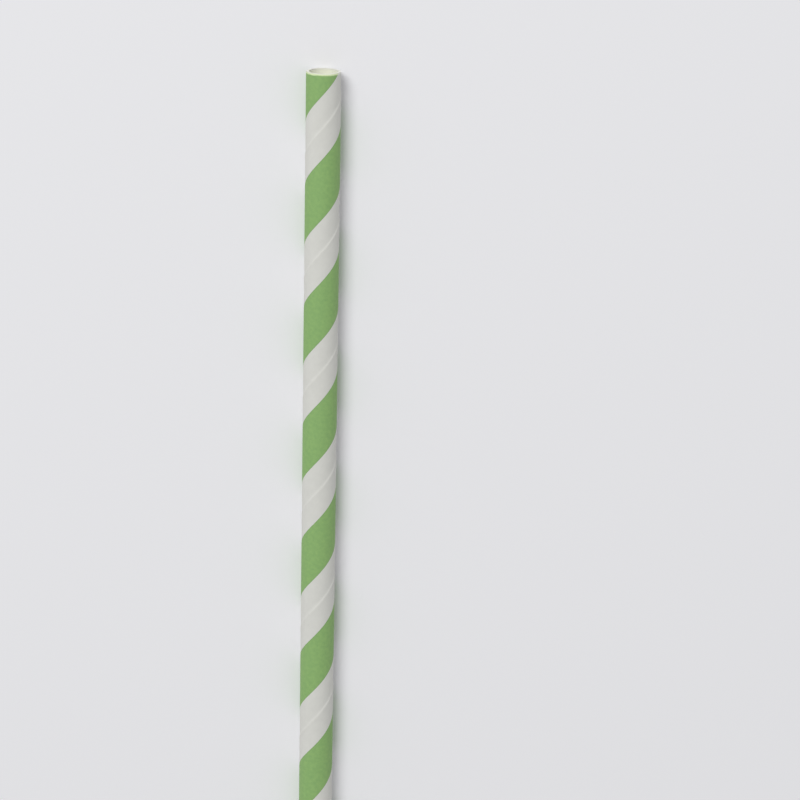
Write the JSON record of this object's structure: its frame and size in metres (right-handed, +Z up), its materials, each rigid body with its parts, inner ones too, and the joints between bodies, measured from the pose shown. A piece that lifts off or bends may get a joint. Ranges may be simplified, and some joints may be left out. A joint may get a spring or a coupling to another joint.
{
  "type": "paper drinking straw",
  "caption": "Straight paper drinking straw, wound in a spiral from strips of paper, white with a green stripe that winds up it, lying on its side.",
  "frame": {"origin": "on the surface that the straw lies on, below the middle of its length", "axes": "+Y along the straw towards the end that is drunk from, +Z up, +X to the right of someone who looks down on the straw with that end away from them"},
  "size_m": [0.006, 0.197, 0.0061],
  "materials": {
    "white_paper": "matte uncoated paper",
    "green_print": "matte printed paper, one flat colour"
  },
  "bodies": {
    "root": {"paper_tube": "white_paper", "printed_stripe": "green_print"}
  },
  "joints": []
}
